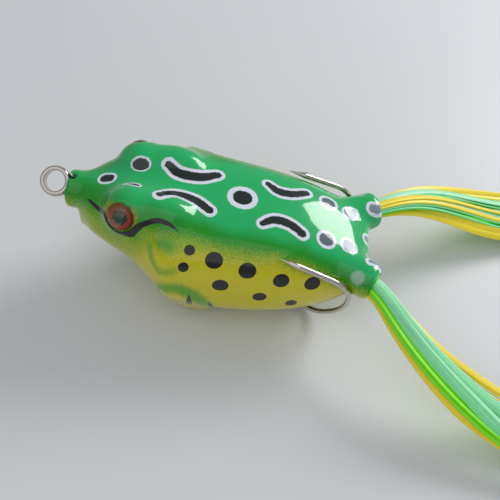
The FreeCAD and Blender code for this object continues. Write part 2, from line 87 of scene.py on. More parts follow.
def adder(tree):
    """The function that adds a node to a tree, sets its sockets to values or other nodes' outputs, and gives
    back one of its own outputs."""
    def add(kind, sockets=None, output=0, **settings):
        made = tree.nodes.new(kind)
        for name, value in settings.items():
            setattr(made, name, value)
        for key, value in (sockets or {}).items():
            if isinstance(value, bpy.types.NodeSocket):
                tree.links.new(value, made.inputs[key])
            else:
                made.inputs[key].default_value = value
        return made.outputs[output] if made.outputs else None
    return add


def new_material(name, **surface):
    """A new material, the function that adds nodes to it, the place on the object, and the function that
    wires outputs to its Principled shader, whose plain values are given by name."""
    made = bpy.data.materials.new(name)
    made.use_nodes = True
    tree = made.node_tree
    tree.nodes.clear()
    add = adder(tree)
    out = tree.nodes.new("ShaderNodeOutputMaterial")
    shader = tree.nodes.new("ShaderNodeBsdfPrincipled")
    tree.links.new(shader.outputs[0], out.inputs["Surface"])
    for label, value in surface.items():
        shader.inputs[label.replace("_", " ")].default_value = value
    place = add("ShaderNodeTexCoord", output="Object")

    def wire(**sockets):
        for label, value in sockets.items():
            tree.links.new(value, shader.inputs[label.replace("_", " ")])
    return made, add, place, wire


def put_together(name, mesh, material, body, slot, *stands_for):
    """A finished piece: its mesh, its material, the body it rides on and the node it stands for."""
    piece = bpy.data.objects.new(name, mesh)
    bpy.context.scene.collection.objects.link(piece)
    mesh.materials.clear()
    mesh.materials.append(material)
    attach(piece, body)
    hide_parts(*stands_for)
    return piece


# ---------------------------------------------------------------- places painted on the frog
# Marks on the back: how grey the dark core is, how wide the pale rim round it is, and a line of places with
# the half width of the core at each. The grey of the marks on the rump is painted highlight, where the gloss
# highlight lies over their dark cores. Twin marks are painted on both sides.

TWIN_MARKS = (
    (0.0, 0.66, ((40.4, 5.0, 23.4, 0.6), (42.6, 3.6, 23.2, 0.9), (45.4, 3.8, 22.8, 0.9),
                 (48.0, 5.1, 21.9, 0.75))),
    # The grey of the rump marks below is painted highlight.
    (0.35, 0.6, ((52.5, 4.6, 20.9, 1.3), (52.9, 4.6, 20.8, 1.3))),
    (0.65, 0.5, ((57.3, 4.1, 19.9, 1.2), (57.8, 4.1, 19.7, 1.2))),
    (0.8, 0.6, ((61.7, 6.9, 18.2, 0.7), (62.6, 7.2, 17.8, 0.7))),
)
SINGLE_MARKS = (
    (0.0, 0.66, ((21.3, -4.7, 25.9, 0.75), (23.6, -3.2, 25.2, 0.95), (27.4, -3.2, 24.8, 0.95),
                 (30.4, -4.6, 24.4, 0.8))),
    (0.0, 0.7, ((21.3, 3.7, 25.9, 0.75), (23.6, 2.4, 25.2, 1.0), (27.4, 2.7, 24.8, 1.0),
                (30.6, 4.4, 24.4, 0.8))),
    (0.0, 1.05, ((35.8, 0.0, 24.0, 1.7), (36.2, 0.0, 24.0, 1.7))),
    (0.0, 0.5, ((9.9, -0.2, 24.2, 0.95), (10.8, -0.2, 24.4, 0.95))),
    (0.0, 0.35, ((16.1, 3.1, 25.3, 1.25), (16.4, 3.1, 25.3, 1.25))),
    (0.0, 0.5, ((14.6, -3.0, 25.0, 0.02), (15.9, -3.1, 25.1, 0.5), (16.5, -3.2, 25.1, 0.5))),
    # The grey of this rump mark is painted highlight.
    (0.8, 0.6, ((61.6, 0.0, 17.4, 0.8), (61.8, 0.0, 16.4, 0.8))),
)
# A pale spot on the right side of the rump, which is a painted highlight.
RUMP_HIGHLIGHT_SPOT = ((59.2, 10.3, 17.9, 1.25), (59.4, 10.3, 17.9, 1.25))

# Black ink on each flank: round dots, and brushed lines with the half width at each place.
DOTS = (
    (28.0, 12.4, 22.0, 0.95), (27.2, 14.3, 19.5, 0.95), (32.6, 13.1, 20.8, 1.6), (38.8, 13.2, 19.2, 1.6),
    (45.2, 13.0, 17.3, 1.5), (51.1, 12.0, 16.3, 1.5), (34.2, 15.0, 15.8, 1.5), (41.7, 14.3, 12.9, 1.3),
    (47.9, 13.3, 10.8, 1.1),
)
BRUSHED = (
    ((7.6, 3.6, 21.7, 0.15), (8.6, 5.6, 23.0, 0.35), (9.9, 7.9, 24.0, 0.55), (10.9, 9.3, 24.5, 0.7),
     (12.0, 10.6, 24.0, 0.8), (13.4, 11.4, 22.6, 0.95), (15.0, 11.7, 22.1, 1.0), (16.6, 11.5, 22.3, 1.0),
     (17.8, 11.2, 23.7, 0.75), (19.1, 10.7, 24.8, 0.55), (21.4, 9.7, 25.6, 0.5), (23.7, 9.4, 25.0, 0.4),
     (25.5, 9.9, 23.8, 0.12)),
    ((28.5, 15.3, 12.3, 0.1), (28.5, 15.3, 9.6, 0.55), (28.5, 14.2, 6.7, 0.6)),
    ((32.3, 15.2, 10.2, 0.1), (32.6, 15.0, 8.2, 0.4), (32.8, 13.6, 5.2, 0.5)),
    ((14.3, 8.9, 12.6, 0.1), (16.6, 9.4, 11.2, 0.22), (18.6, 9.8, 10.2, 0.1)),
)

# Where the sprayed green of the back ends on the left flank: along, across and height above the surface, and
# how sharply it ends. It reaches FAR_SIDE_DROP lower on the right flank, which is sprayed second.
GREEN_EDGE = (
    (2.0, 3.5, 20.0, 0.45), (6.0, 5.5, 21.0, 0.35), (10.0, 8.0, 22.0, 0.3), (14.0, 10.5, 21.0, 0.3),
    (17.5, 11.5, 21.5, 0.35), (20.8, 11.2, 23.6, 0.42), (25.5, 10.8, 23.2, 0.45), (30.0, 10.9, 22.8, 0.6),
    (35.2, 11.2, 22.1, 0.7), (42.5, 10.5, 21.3, 0.7), (48.2, 10.2, 20.1, 0.7), (54.2, 10.3, 17.5, 0.7),
    (57.3, 10.9, 15.9, 0.7), (61.0, 11.2, 15.0, 0.8), (67.0, 12.5, 14.8, 0.8),
)
FAR_SIDE_DROP = 2.2
LEAF_GREEN = (
    ((20.6, 12.6, 21.6, 0.6), (21.2, 13.9, 19.4, 0.6), (23.2, 14.5, 18.0, 0.6), (25.4, 14.3, 18.6, 0.5)),
    ((23.2, 12.2, 22.6, 1.0), (24.4, 12.4, 22.0, 0.9)),
    ((22.9, 14.7, 12.9, 0.9), (25.8, 15.1, 14.4, 1.4), (28.7, 15.3, 12.6, 1.6), (31.6, 14.9, 9.0, 1.4)),
)

# The eyelid is a ring of dull green round the eye: its reach from the middle of the eye, its top above the
# surface, and its bottom below the middle of the eye.
EYELID_REACH = 3.5
EYELID_TOP = 26.5
EYELID_BOTTOM = 0.5

# How far above or below the skin a painted line may lie and still count as lying on it.
SKIN_SLACK = 1.6

# The middle of the right leg stub's mouth, and the way it points.
STUB_MOUTH = Vector((63.27, 9.47, 15.6))
STUB_AXIS = Vector((0.9026, 0.4305, 0.045)).normalized()


def middle_of(node):
    """The middle of a CAD node on the bench, folded onto the right-hand side."""
    corners = [v.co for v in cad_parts[node].data.vertices]
    middle = sum(corners, Vector()) / len(corners) / MM
    return Vector((middle.x, abs(middle.y), middle.z - FLOOR / MM))


EYE = middle_of("right_eye_iris")

# ---------------------------------------------------------------- the soft body


def brushed_line(line):
    """The same line drawn smoothly through its places, as a hand draws it."""
    rows = np.array(line)
    rows = np.concatenate([2 * rows[:1] - rows[1:2], rows, 2 * rows[-1:] - rows[-2:-1]])
    drawn = []
    for a, b, c, d in zip(rows, rows[1:], rows[2:], rows[3:]):
        for t in np.linspace(0, 1, 6)[:-1]:
            drawn.append(b + 0.5 * t * (c - a + t * (2 * a - 5 * b + 4 * c - d + t * (3 * (b - c) + d - a))))
    return np.array([*drawn, rows[-2]])


def distance_over_skin(places, facing, line):
    """Millimetres over the skin from each place to a line of (along, across, height, half width), less the
    half width."""
    best = np.full(len(places), 1e3)
    drawn = brushed_line(line)
    for start, end in zip(drawn, drawn[1:]):
        run = end[:3] - start[:3]
        share = np.clip((places - start[:3]) @ run / max(run @ run, 1e-9), 0, 1)
        away = places - start[:3] - share[:, None] * run
        through = np.sum(away * facing, axis=1)
        sideways = np.sqrt(np.maximum(np.sum(away * away, axis=1) - through * through, 0))
        reach = np.hypot(sideways, np.maximum(np.abs(through) - SKIN_SLACK, 0))
        best = np.minimum(best, reach - (start[3] + share * (end[3] - start[3])))
    return best


def on_both_sides(places):
    """The same places folded onto the right-hand side."""
    folded = places.copy()
    folded[:, 1] = np.abs(folded[:, 1])
    return folded


SLEEVE = ((-10.0, 3.25), (-4.5, 3.25), (-4.5, 3.7), (-10.0, 3.7))
SLEEVE_REACH = 12.0


def thicken_stub(work, way):
    """A sleeve inside the root of a leg stub, whose wall is too thin there for the even faces. SLEEVE is its
    section: places along the stub's axis from the mouth, and radii."""
    mouth = Vector((STUB_MOUTH.x, way * STUB_MOUTH.y, STUB_MOUTH.z))
    axis = Vector((STUB_AXIS.x, way * STUB_AXIS.y, STUB_AXIS.z))
    outwards = axis.orthogonal().normalized()
    corners = [work.verts.new(at(*(mouth + axis * along + outwards * radius)))
               for along, radius in SLEEVE]
    ring = [work.edges.new((a, b)) for a, b in zip(corners, corners[1:] + corners[:1])]
    bmesh.ops.spin(work, geom=corners + ring, cent=at(*mouth), axis=axis, angle=2 * math.pi, steps=48,
                   use_merge=True)
    near = [v for v in work.verts if v.is_valid and len(v.link_faces) < 5
            and (v.co - at(*mouth)).length < SLEEVE_REACH * MM]
    bmesh.ops.remove_doubles(work, verts=near, dist=0.001 * MM)
    work.normal_update()


FACE_SIZE = 0.4


def joined_copy(node):
    """The CAD node's shape as one closed skin, remade of even small faces."""
    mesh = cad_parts[node].data.copy()
    work = bmesh.new()
    work.from_mesh(mesh)
    bmesh.ops.remove_doubles(work, verts=work.verts, dist=0.002 * MM)
    for way in (-1, 1):
        thicken_stub(work, way)
    work.to_mesh(mesh)
    work.free()
    shape = bpy.data.objects.new("soft_body_work", mesh)
    bpy.context.scene.collection.objects.link(shape)
    remesh = shape.modifiers.new("even faces", "REMESH")
    remesh.mode = "VOXEL"
    remesh.voxel_size = FACE_SIZE * MM
    made = bpy.data.meshes.new_from_object(shape.evaluated_get(bpy.context.evaluated_depsgraph_get()))
    bpy.data.objects.remove(shape)
    return made


def relaxed(places, edges, share, rounds):
    """Vertices drawn towards the middle of their neighbours, each by its own share."""
    ends, others = edges.T.ravel(), edges[:, ::-1].T.ravel()
    count = np.maximum(np.bincount(ends, minlength=len(places)), 1)
    for _ in range(rounds):
        middles = [np.bincount(ends, places[others, axis], len(places)) / count for axis in range(3)]
        places = places + (np.stack(middles, axis=1) - places) * share[:, None]
    return places


def outward(mesh, places):
    """The direction that each vertex faces when the mesh's vertices are at these places."""
    mesh.vertices.foreach_set("co", places.ravel())
    mesh.update()
    facing = np.zeros(len(places) * 3)
    mesh.vertex_normals.foreach_get("vector", facing)
    return facing.reshape(-1, 3)


def corners_filled(mesh, places, edges, share, rounds):
    """Inner corners filled out into soft hollows, and outer corners left as they are."""
    for _ in range(rounds):
        facing = outward(mesh, places)
        drawn = relaxed(places, edges, share, 4) - places
        lift = np.sum(drawn * facing, axis=1)
        places = places + facing * np.clip(lift, 0.0, None)[:, None]
    return places


# What stays crisp while the inner corners are filled, each with how far it fades out: round the eyes, round
# the leg stubs' mouths, and the nose back to a place along the body.
CRISP_EYE = (3.3, 1.5)
CRISP_MOUTH = (3.8, 2.0)
CRISP_NOSE = (4.5, 2.0)
STEP_ROUNDS = 3
FILLING_ROUNDS = 45
SETTLING_ROUNDS = 14


def faded(distance, reach):
    """A distance as a number that is 0 at the first of two measures and 1 where the second is added to it."""
    return (distance - reach[0]) / reach[1]


def soft_body_mesh():
    """The moulded frog: the CAD skin with its lumps run into each other as soft plastic leaves the mould."""
    mesh = joined_copy("body_shell")
    count = len(mesh.vertices)
    places = np.zeros(count * 3)
    mesh.vertices.foreach_get("co", places)
    places = places.reshape(-1, 3) / MM
    places[:, 2] -= FLOOR / MM
    edges = np.zeros(len(mesh.edges) * 2, int)
    mesh.edges.foreach_get("vertices", edges)
    edges = edges.reshape(-1, 2)
    folded = on_both_sides(places)
    from_eye = np.linalg.norm(folded - np.array(EYE), axis=1)
    from_mouth = np.linalg.norm(folded - np.array(STUB_MOUTH), axis=1)
    free = np.minimum.reduce([faded(from_eye, CRISP_EYE), faded(from_mouth, CRISP_MOUTH),
                              faded(places[:, 0], CRISP_NOSE)])
    share = 0.5 * np.clip(free, 0.0, 1.0)
    places = relaxed(places, edges, np.full(count, 0.5), STEP_ROUNDS)
    places = corners_filled(mesh, places, edges, share, FILLING_ROUNDS)
    places = relaxed(places, edges, share, SETTLING_ROUNDS)
    stored = places.copy()
    stored[:, 2] += FLOOR / MM
    mesh.vertices.foreach_set("co", (stored * MM).ravel())
    mesh.update()
    paint(mesh, places)
    mesh.polygons.foreach_set("use_smooth", [True] * len(mesh.polygons))
    return mesh


def nearest_line(places, facing, lines):
    """Millimetres over the skin from each place to the nearest of several lines."""
    return np.minimum.reduce([distance_over_skin(places, facing, line) for line in lines])


def paint(mesh, places):
    """What the painter sets out on the skin, as numbers in millimetres on its vertices."""
    facing = np.zeros(len(places) * 3)
    mesh.vertex_normals.foreach_get("vector", facing)
    facing = facing.reshape(-1, 3)
    mirror = facing.copy()
    mirror[places[:, 1] < 0, 1] *= -1
    folded = on_both_sides(places)
    core, rim, grey = np.full(len(places), 9.0), np.full(len(places), 9.0), np.zeros(len(places))
    # Each core keeps its mark's grey, which on the rump marks is painted highlight.
    for marks, where, outwards in ((TWIN_MARKS, folded, mirror), (SINGLE_MARKS, places, facing)):
        for highlight_grey, rim_width, line in marks:
            found = distance_over_skin(where, outwards, line)
            grey = np.where(found < core, highlight_grey, grey)
            core = np.minimum(core, found)
            rim = np.minimum(rim, found - rim_width)
    edge_along, *edge = zip(*GREEN_EDGE)
    across, height, sharpness = [np.interp(places[:, 0], edge_along, column) for column in edge]
    height = height - FAR_SIDE_DROP * (places[:, 1] > 0)
    above = sharpness * (places[:, 2] - height + across - folded[:, 1])
    from_eye = np.linalg.norm(folded - np.array(EYE), axis=1)
    eyelid = np.maximum.reduce([from_eye - EYELID_REACH, EYE.z - EYELID_BOTTOM - places[:, 2],
                                places[:, 2] - EYELID_TOP])
    dots = [(dot, (dot[0] + 0.1, *dot[1:])) for dot in DOTS]
    for name, values in (
        ("core", core), ("rim", rim), ("highlight_grey", grey),
        # The pale rump spot, a painted highlight.
        ("rump_highlight", distance_over_skin(folded, mirror, RUMP_HIGHLIGHT_SPOT)),
        ("ink", nearest_line(folded, mirror, (*dots, *BRUSHED))),
        ("above_edge", above),
        ("leaf", nearest_line(folded, mirror, LEAF_GREEN)),
        ("eyelid", eyelid),
    ):
        mesh.attributes.new(name, "FLOAT", "POINT").data.foreach_set("value", values.astype(np.float32))


def painted_pvc():
    """Soft moulded PVC, airbrushed in lacquer and dipped in a clear coat: even colour, a fine speckle where
    one colour fades into the next, crisp brushed marks, the wet gloss of the clear coat over it all, and a
    painted highlight on the rump that greys the dark marks there and lays a pale spot beside them."""
    made, add, place, wire = new_material("painted_soft_pvc", Roughness=0.34, Specular_IOR_Level=0.08,
                                          Coat_Weight=1.0, Coat_Roughness=0.06)
    on_skin = {name: add("ShaderNodeAttribute", output="Fac", attribute_name=name) for name in
               ("core", "rim", "highlight_grey", "rump_highlight", "ink", "above_edge", "leaf", "eyelid")}
    # Grain of the spray, drift of the painter's hand and ragged edge of a brushed mark, each about 0.
    loose = {}
    for name, grain_mm, detail, rough, reach in (
        ("spray", 0.3, 2.0, 0.75, 7.5),
        ("drift", 5.0, 1.0, 0.5, 1.6),
        ("ragged", 0.5, 2.0, 0.5, 0.45),
        ("fleck", 0.3, 2.0, 0.6, 1.0),
    ):
        grain = add("ShaderNodeTexNoise", {"Vector": place, "Scale": 1 / (grain_mm * MM), "Detail": detail,
                                           "Roughness": rough})
        loose[name] = add("ShaderNodeMath", {0: grain, 1: reach, 2: -0.5 * reach}, operation="MULTIPLY_ADD")
    drifting = add("ShaderNodeMath", {0: on_skin["above_edge"], 1: loose["drift"]})
    # What is laid over what: a number on the skin, how much of which grain loosens its edge, where it starts,
    # where it covers fully, how much it covers, and its colour. The marks' dark cores mix their own, greyed
    # towards a painted highlight on the rump.
    colour = linear("#D3C800")
    for value, loosening, grain, start, full, cover, paint_colour in (
        (drifting, 1.0, "spray", -3.0, -0.2, 1.0, "#86AC00"),
        (drifting, 0.7, "spray", -0.6, 1.3, 1.0, "#0A9410"),
        (drifting, 0.15, "spray", 1.6, 4.4, 1.0, "#16B564"),
        (on_skin["leaf"], 0.35, "spray", 0.9, -0.9, 0.85, "#3FA214"),
        (on_skin["eyelid"], 0.12, "spray", 0.5, -0.6, 0.8, "#8F9A08"),
        (on_skin["rim"], 0.6, "ragged", 0.1, -0.1, 1.0, "#E4E8F6"),
        (on_skin["core"], 1.0, "ragged", 0.12, -0.12, 1.0, None),
        # The pale rump spot: a painted highlight.
        (on_skin["rump_highlight"], 0.12, "spray", 0.3, -0.4, 0.75, "#A9C7B4"),
        (on_skin["ink"], 0.15, "ragged", 0.06, -0.06, 1.0, "#050605"),
    ):
        if paint_colour:
            over = linear(paint_colour)
        else:
            # The dark core is mixed towards a pale blue-grey: painted highlight on the rump marks.
            dark_and_highlit = {0: on_skin["highlight_grey"], 6: linear("#12201C"), 7: linear("#8FA3B0")}
            grey = add("ShaderNodeMix", dark_and_highlit, 2, data_type="RGBA")
            flecked = add("ShaderNodeMapRange", {"Value": loose["fleck"], "From Min": 0.14, "From Max": 0.24})
            over = add("ShaderNodeMix", {0: flecked, 6: grey, 7: linear("#43564E")}, 2, data_type="RGBA")
        edge = add("ShaderNodeMath", {0: loose[grain], 1: loosening, 2: value}, operation="MULTIPLY_ADD")
        reach = {"Value": edge, "From Min": start, "From Max": full, "To Max": cover}
        share = add("ShaderNodeMapRange", reach, interpolation_type="SMOOTHSTEP")
        colour = add("ShaderNodeMix", {0: share, 6: colour, 7: over}, 2, data_type="RGBA")
    dip = add("ShaderNodeTexNoise", {"Vector": place, "Scale": 1 / (1.6 * MM), "Detail": 2.0})
    wire(Base_Color=colour,
         Normal=add("ShaderNodeBump", {"Height": dip, "Distance": 0.05 * MM, "Strength": 0.35}))
    return made


# ---------------------------------------------------------------- hook, weight, eyes and bands


def bright_nickel():
    """Bright nickel plate on drawn wire: a mirror with the faintest waviness and slightly dull bends."""
    made, add, place, wire = new_material("bright_nickel_plate", Base_Color=linear("#C9C2B8"), Metallic=1.0)
    worn = add("ShaderNodeTexNoise", {"Vector": place, "Scale": 1 / (3.0 * MM), "Detail": 3.0})
    drawn = add("ShaderNodeTexNoise", {"Vector": place, "Scale": 1 / (0.6 * MM), "Detail": 2.0})
    wire(Roughness=add("ShaderNodeMapRange", {"Value": worn, "To Min": 0.1, "To Max": 0.24}),
         Normal=add("ShaderNodeBump", {"Height": drawn, "Distance": 0.02 * MM, "Strength": 0.3}))
    return made


def cast_lead():
    """Lead from an open mould: dull blue-grey with a grainy skin."""
    made, add, place, wire = new_material("cast_lead", Metallic=0.9, Roughness=0.55)
    grain = add("ShaderNodeTexNoise", {"Vector": place, "Scale": 1 / (0.8 * MM), "Detail": 4.0})
    wire(Base_Color=add("ShaderNodeMix", {0: grain, 6: linear("#5A5E63"), 7: linear("#8C9094")}, 2,
                        data_type="RGBA"),
         Normal=add("ShaderNodeBump", {"Height": grain, "Distance": 0.12 * MM, "Strength": 0.6}))
    return made


def printed_foil():
    """Foil printed in red lacquer with a black pupil: bright where the foil shines through the lacquer."""
    made, add, place, wire = new_material("printed_eye_foil", Metallic=0.1, Roughness=0.35,
                                          Specular_IOR_Level=0.15)
    folded = add("ShaderNodeVectorMath", {0: place}, operation="ABSOLUTE")
    middle = [abs(v) for v in at(*EYE)]
    apart = add("ShaderNodeVectorMath", {0: folded, 1: middle}, operation="SUBTRACT")
    reach = add("ShaderNodeVectorMath", {0: apart}, "Value", operation="LENGTH")
    print_edge = add("ShaderNodeTexNoise", {"Vector": place, "Scale": 1 / (0.7 * MM), "Detail": 3.0})
    radius = add("ShaderNodeMath", {0: print_edge, 1: 0.6 * MM, 2: reach}, operation="MULTIPLY_ADD")
    lacquer = add("ShaderNodeTexNoise", {"Vector": place, "Scale": 1 / (0.9 * MM), "Detail": 3.0})
    colour = add("ShaderNodeMix", {0: lacquer, 6: linear("#D8180E"), 7: linear("#FF3A22")}, 2,
                 data_type="RGBA")
    for start, full, ink in ((2.7, 3.1, "#8E0C07"), (1.55, 1.42, "#030202")):
        share = add("ShaderNodeMapRange", {"Value": radius, "From Min": start * MM, "From Max": full * MM})
        colour = add("ShaderNodeMix", {0: share, 6: colour, 7: linear(ink)}, 2, data_type="RGBA")
    crinkle = add("ShaderNodeTexNoise", {"Vector": place, "Scale": 1 / (0.35 * MM), "Detail": 1.0})
    wire(Base_Color=colour,
         Normal=add("ShaderNodeBump", {"Height": crinkle, "Distance": 0.03 * MM, "Strength": 0.4}))
    return made


def clear_resin():
    """Epoxy dropped on the foil: water-clear, with a hard bright highlight."""
    made, add, place, wire = new_material("clear_epoxy_resin", Base_Color=linear("#FFFFFF"), Roughness=0.02,
                                          Transmission_Weight=1.0, IOR=1.5)
    sag = add("ShaderNodeTexNoise", {"Vector": place, "Scale": 1 / (2.5 * MM), "Detail": 0.0})
    wire(Normal=add("ShaderNodeBump", {"Height": sag, "Distance": 0.02 * MM, "Strength": 0.1}))
    return made


def black_rubber():
    """Cut latex band: matte black with a dusty bloom."""
    made, add, place, wire = new_material("black_latex_band", Roughness=0.7)
    bloom = add("ShaderNodeTexNoise", {"Vector": place, "Scale": 1 / (0.7 * MM), "Detail": 3.0})
    wire(Base_Color=add("ShaderNodeMix", {0: bloom, 6: linear("#0B0B0B"), 7: linear("#26262A")}, 2,
                        data_type="RGBA"))
    return made


def silicone(name, deep, light):
    """Extruded silicone skirt rubber: dyed through, a little milky, with a soft shine along each strand."""
    made, add, place, wire = new_material(name, Roughness=0.4, Subsurface_Weight=0.25, Coat_Weight=0.1,
                                          Subsurface_Radius=(0.6, 0.8, 0.3), Subsurface_Scale=0.8 * MM,
                                          Coat_Roughness=0.25)
    dye = add("ShaderNodeAttribute", output="Fac", attribute_name="strand_tone")
    cloud = add("ShaderNodeTexNoise", {"Vector": place, "Scale": 1 / (1.2 * MM), "Detail": 2.0})
    tone = add("ShaderNodeMath", {0: cloud, 1: 0.35, 2: dye}, operation="MULTIPLY_ADD", use_clamp=True)
    wire(Base_Color=add("ShaderNodeMix", {0: tone, 6: linear(deep), 7: linear(light)}, 2, data_type="RGBA"))
    return made


# ---------------------------------------------------------------- skirts

# The middle line of each leg: two places on the stub's axis, before its mouth, and then places outside it.
LEG_LINES = {
    "left": ((-7.5, -0.25), (66.9, -15.5, 14.8), (73.8, -22.1, 11.9), (82.8, -27.6, 8.0), (93.2, -31.8, 4.8),
             (104.6, -35.0, 2.6), (115.4, -37.0, 1.8)),
    "right": ((-7.5, -0.25), (68.6, 13.2, 15.3), (77.1, 17.0, 12.8), (88.0, 20.4, 7.4), (99.0, 23.2, 3.8),
              (109.6, 25.6, 2.3), (120.0, 27.0, 1.9)),
}
# Each strand's place in its leg, (sideways, up) in millimetres, at the mouth, a quarter of the way, the curl,
# three quarters of the way and the end.
LEFT_STRANDS = {
    "pale": (
        ((0.0, 1.0), (-0.1, 0.95), (-0.7, 0.9), (-3.6, 0.5), (-5.6, 0.2)),
        ((0.25, 1.15), (0.25, 1.1), (-0.2, 1.1), (-3.0, 0.9), (-4.9, 0.6)),
        ((0.5, 0.8), (0.5, 0.85), (0.3, 0.9), (-2.4, 0.6), (-4.4, 0.9)),
        ((0.75, 0.5), (0.85, 0.6), (0.8, 0.8), (0.6, 0.7), (0.4, 0.7)),
        ((1.0, 0.9), (1.15, 0.9), (1.25, 0.7), (1.2, 0.6), (1.3, 0.4)),
        ((1.2, 0.3), (1.5, 0.4), (1.7, 0.5), (1.9, 0.3), (2.3, 0.5)),
        ((0.9, -0.1), (1.0, 0.1), (1.0, 0.2), (0.2, 0.1), (-0.7, 0.5)),
    ),
    "lime": (
        ((-1.05, 0.1), (-1.45, 0.25), (-2.1, 0.3), (-3.0, -0.1), (-3.2, 0.2)),
        ((-0.85, 0.5), (-1.05, 0.5), (-1.6, 0.5), (-2.6, 0.1), (-2.6, 0.1)),
        ((-0.6, 0.0), (-0.7, 0.1), (-1.3, 0.1), (-3.4, -0.3), (-4.1, 0.0)),
        ((-0.4, 0.6), (-0.35, 0.55), (-0.8, 0.35), (-2.0, -0.2), (-2.0, 0.3)),
        ((-0.2, -0.6), (-0.2, -0.5), (-0.3, -0.5), (0.6, -0.6), (1.9, -0.3)),
        ((0.3, -0.9), (0.4, -0.8), (0.5, -0.6), (1.2, -0.6), (3.2, -0.4)),
    ),
    "yellow": (
        ((-1.35, -0.3), (-1.9, -0.1), (-2.9, 0.0), (-2.2, -0.5), (-1.2, 0.3)),
        ((-1.25, -0.6), (-1.75, -0.45), (-2.6, -0.4), (-1.6, -0.4), (0.4, -0.2)),
        ((0.9, -0.7), (1.6, -0.4), (2.9, 0.0), (4.1, 0.2), (5.9, 0.3)),
        ((1.15, -0.4), (1.9, -0.2), (3.5, 0.1), (4.7, 0.0), (6.3, 0.0)),
        ((0.6, -1.1), (1.3, -0.7), (2.4, -0.2), (3.6, -0.1), (5.2, -0.2)),
        ((1.3, -0.1), (1.75, 0.1), (3.2, 0.4), (4.4, 0.5), (5.5, 0.5)),
        ((0.1, -1.2), (0.9, -0.9), (1.9, -0.4), (2.9, -0.3), (4.5, 0.1)),
    ),
}
RIGHT_STRANDS = {
    "pale": (
        ((0.6, 1.0), (1.0, 1.2), (1.8, 0.9), (1.8, 0.8), (1.2, 0.6)),
        ((0.9, 0.6), (1.3, 0.8), (2.4, 0.6), (2.2, 0.4), (1.9, 0.5)),
        ((0.2, 1.1), (0.4, 1.1), (1.0, 0.8), (0.6, 0.8), (0.2, 0.9)),
        ((-0.3, 0.9), (-0.4, 0.9), (-0.4, 0.8), (-1.6, 0.4), (-2.8, 0.3)),
        ((-0.7, 0.6), (-1.0, 0.5), (-1.2, 0.2), (-2.2, -0.1), (-3.6, 0.1)),
        ((-1.0, 0.2), (-1.4, 0.1), (-1.9, -0.3), (-2.9, -0.5), (-4.4, 0.2)),
        ((0.0, 0.4), (0.1, 0.5), (0.4, 0.3), (-0.2, 0.1), (-0.8, 0.2)),
    ),
    "lime": (
        ((0.4, 0.4), (0.5, 0.4), (0.9, 0.0), (0.6, -0.2), (0.0, 0.1)),
        ((-0.2, 0.2), (-0.3, 0.1), (-0.6, -0.2), (-0.9, -0.4), (-1.6, 0.0)),
        ((-0.6, -0.2), (-0.8, -0.3), (-1.3, -0.6), (-1.7, -0.6), (-2.2, -0.2)),
        ((0.8, -0.2), (0.9, -0.3), (1.6, -0.5), (2.6, -0.4), (3.4, 0.2)),
        ((0.2, -0.6), (0.1, -0.6), (0.3, -0.7), (0.9, -0.6), (0.9, -0.2)),
        ((-1.0, -0.4), (-1.2, -0.4), (-1.6, -0.1), (-1.1, 0.0), (-1.4, 0.4)),
    ),
    "yellow": (
        ((1.2, 0.1), (1.9, 0.4), (3.3, 0.9), (4.2, 1.0), (5.6, 0.7)),
        ((1.0, -0.3), (1.6, 0.0), (2.9, 0.6), (3.8, 0.7), (4.9, 0.9)),
        ((-0.1, 1.2), (-0.2, 1.4), (-0.2, 1.3), (-0.6, 1.2), (-1.0, 1.0)),
        ((-0.5, 1.0), (-0.8, 1.1), (-1.0, 0.8), (-2.0, 0.4), (-3.2, 0.6)),
        ((-0.9, -0.8), (-1.9, -1.4), (-3.4, -1.8), (-4.0, -1.0), (-5.0, 0.0)),
        ((0.5, -1.0), (1.0, -0.9), (2.3, -0.5), (3.4, 0.0), (4.2, 0.3)),
        ((-0.4, -1.0), (-1.2, -1.0), (-2.6, -0.8), (-3.5, -0.6), (-5.6, 0.3)),
    ),
}
STRANDS = {"left": LEFT_STRANDS, "right": RIGHT_STRANDS}
SIGN = {"left": -1, "right": 1}
# Where those five places lie, counted in points of the leg's middle line, where the middle line's own points
# lie, and how far the strands fan out at the five places.
OFFSET_AT = (0.0, 1.5, 3.0, 4.5, 6.0)
LINE_AT = (-0.5, 0, 1, 2, 3, 4, 5, 6)
FAN_OUT = (1.0, 1.3, 1.55, 1.45, 1.2)


def leg_points(side):
    """The middle line of a leg, from inside the stub, through its mouth and outwards: each point with its
    sideways and its upward direction."""
    mouth = Vector((STUB_MOUTH.x, SIGN[side] * STUB_MOUTH.y, STUB_MOUTH.z))
    axis = Vector((STUB_AXIS.x, SIGN[side] * STUB_AXIS.y, STUB_AXIS.z))
    inside = [mouth + axis * reach for reach in LEG_LINES[side][0]]
    outside = [Vector(p) for p in LEG_LINES[side][1:]]
    points = inside + outside
    frames = []
    for i, point in enumerate(points):
        before, after = points[max(i - 1, 0)], points[min(i + 1, len(points) - 1)]
        ahead = axis if i < 2 else (after - before).normalized()
        across = Vector((0, 0, 1)).cross(ahead).normalized()
        frames.append((point, across, ahead.cross(across)))
    return frames


def strand_guides(name, side, colour):
    """A smooth line for each strand of one colour in one leg."""
    curve = bpy.data.curves.new(name, "CURVE")
    curve.dimensions = "3D"
    curve.resolution_u = 16
    for offsets in STRANDS[side][colour]:
        fan = np.interp(LINE_AT, OFFSET_AT, FAN_OUT)
        sideways = fan * np.interp(LINE_AT, OFFSET_AT, [o[0] for o in offsets])
        upward = np.interp(LINE_AT, OFFSET_AT, [o[1] for o in offsets])
        spline = curve.splines.new("NURBS")
        frames = leg_points(side)
        spline.points.add(len(frames) - 1)
        for point, (middle, across, rise), s, u in zip(spline.points, frames, sideways, upward):
            point.co = (*at(*(middle + across * s + rise * u)), 1.0)
        spline.order_u = 4
        spline.use_endpoint_u = True
    guides = bpy.data.objects.new(name, curve)
    bpy.context.scene.collection.objects.link(guides)
    return guides


